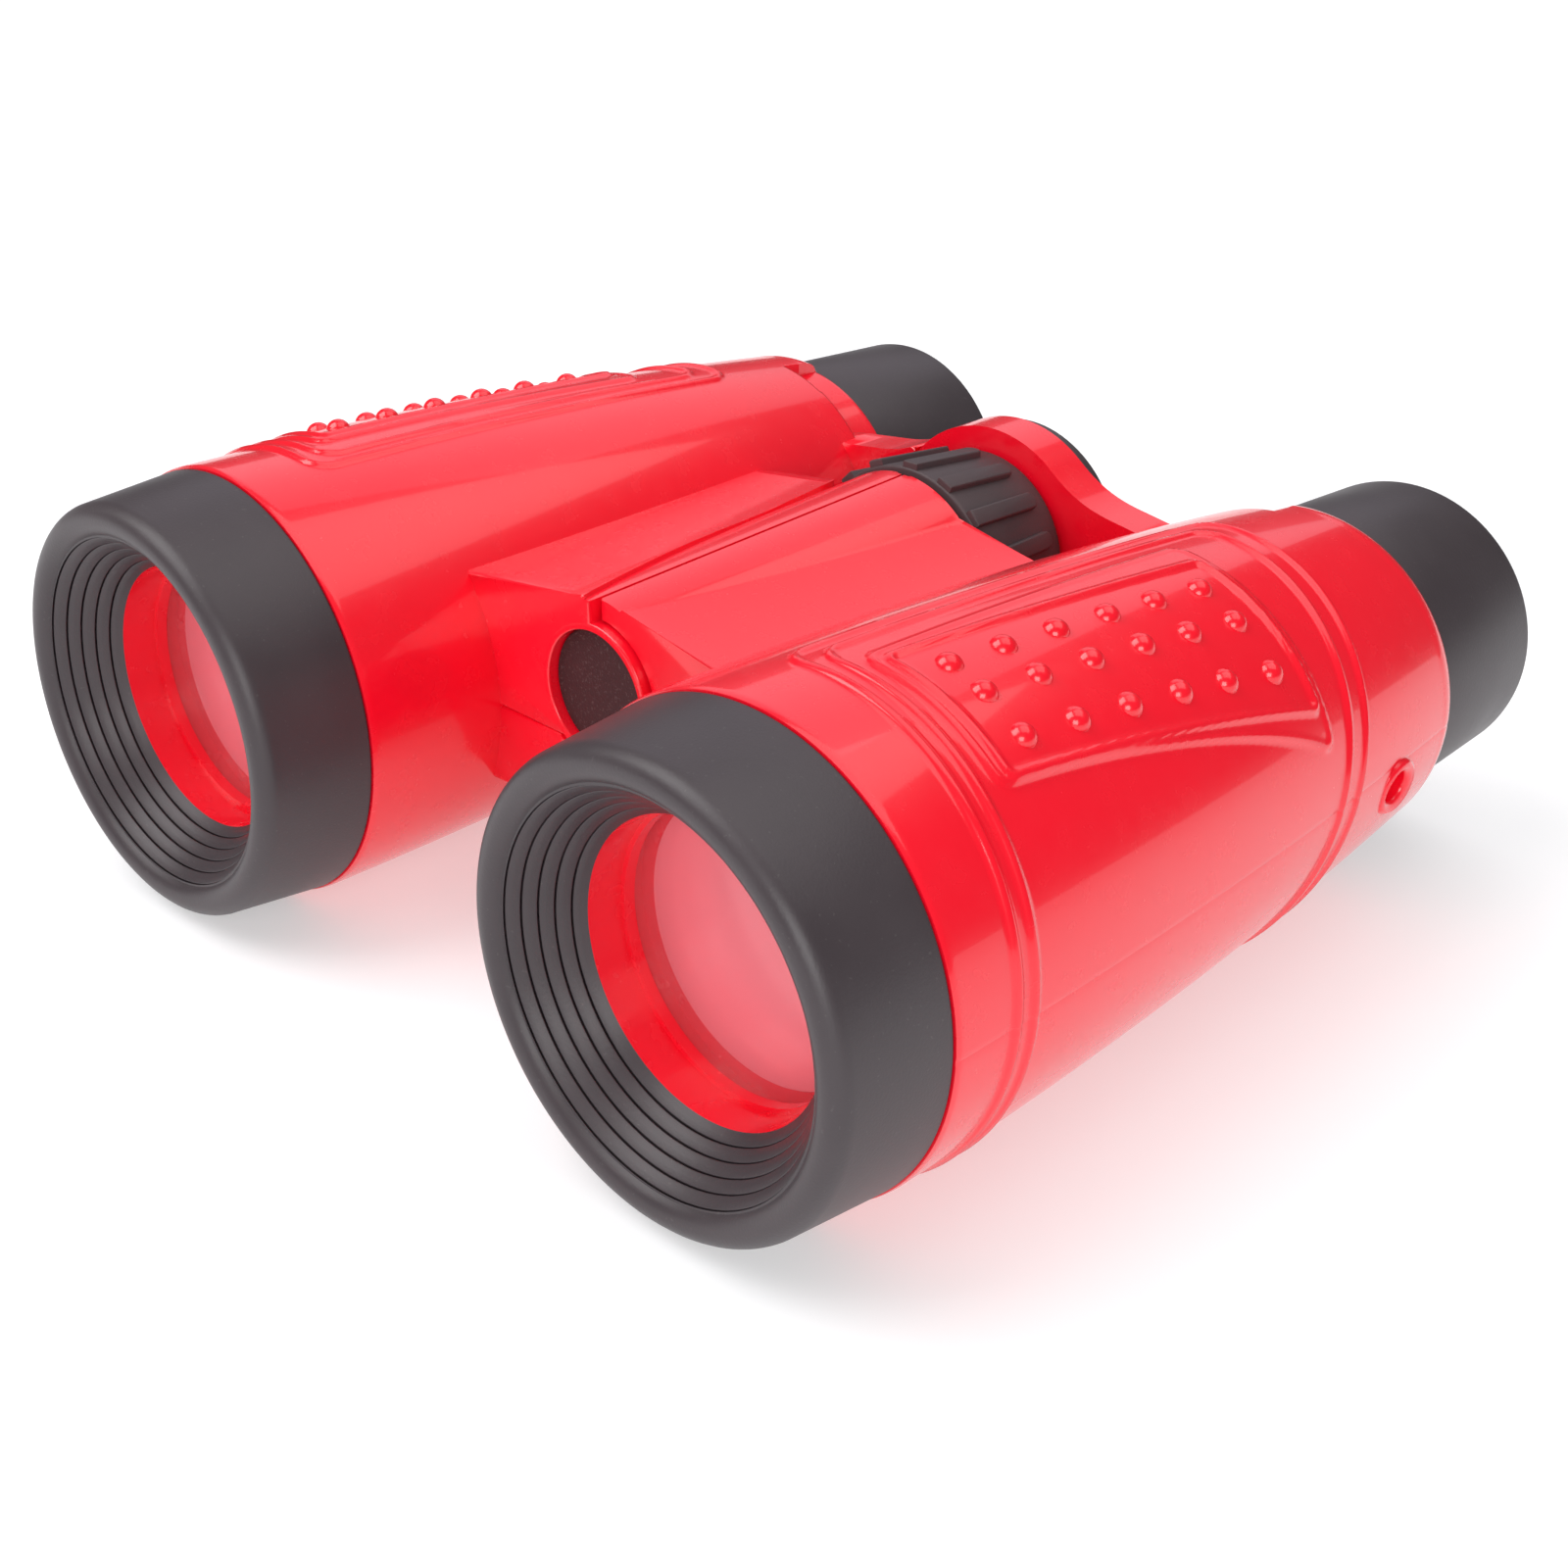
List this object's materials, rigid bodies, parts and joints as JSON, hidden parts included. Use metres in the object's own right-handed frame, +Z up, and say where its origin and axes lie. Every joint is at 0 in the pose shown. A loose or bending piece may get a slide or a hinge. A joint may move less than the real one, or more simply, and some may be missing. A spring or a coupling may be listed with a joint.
{
  "type": "toy binoculars",
  "caption": "Toy folding binoculars with ribbed objective rings, studded grips, eyepiece cups, a centre hinge that sets the barrel spacing and a ribbed focus wheel.",
  "frame": {"origin": "under the middle of the object, on the plane that the barrels rest on", "axes": "+Y along the barrels towards the eyepieces, +X across the barrels towards the right one as seen from behind the eyepieces, +Z up"},
  "size_m": [0.1226, 0.1182, 0.0468],
  "materials": {
    "red_plastic": "satin moulded",
    "black_plastic": "satin moulded",
    "wheel_plastic": "satin moulded",
    "clear_lens": "clear polished",
    "steel": "plated"
  },
  "bodies": {
    "left_half": {"left_upper_shell": "red_plastic", "left_lower_shell": "red_plastic", "left_objective_ring": "black_plastic", "left_objective_lens": "clear_lens", "left_eyepiece_cup": "black_plastic", "left_eye_lens": "clear_lens", "left_lens_retainer": "black_plastic", "left_shell_screws": "steel", "hinge_bolt": "steel", "hinge_washer": "steel", "hinge_nut": "steel", "front_hinge_plug": "black_plastic"},
    "right_half": {"right_upper_shell": "red_plastic", "right_lower_shell": "red_plastic", "right_objective_ring": "black_plastic", "right_objective_lens": "clear_lens", "right_eyepiece_cup": "black_plastic", "right_eye_lens": "clear_lens", "right_lens_retainer": "black_plastic", "right_shell_screws": "steel", "rear_hinge_cap": "black_plastic"},
    "wheel": {"focus_wheel": "wheel_plastic"}
  },
  "joints": [
    {"name": "fold_hinge", "type": "hinge", "parent": "left_half", "child": "right_half", "pos_m": [0, 0, 0.02925], "axis": [0, 1, 0], "range_deg": [0, 60]},
    {"name": "focus_spin", "type": "hinge", "parent": "left_half", "child": "wheel", "pos_m": [0, 0.02235, 0.02925], "axis": [0, 1, 0], "continuous": true}
  ]
}
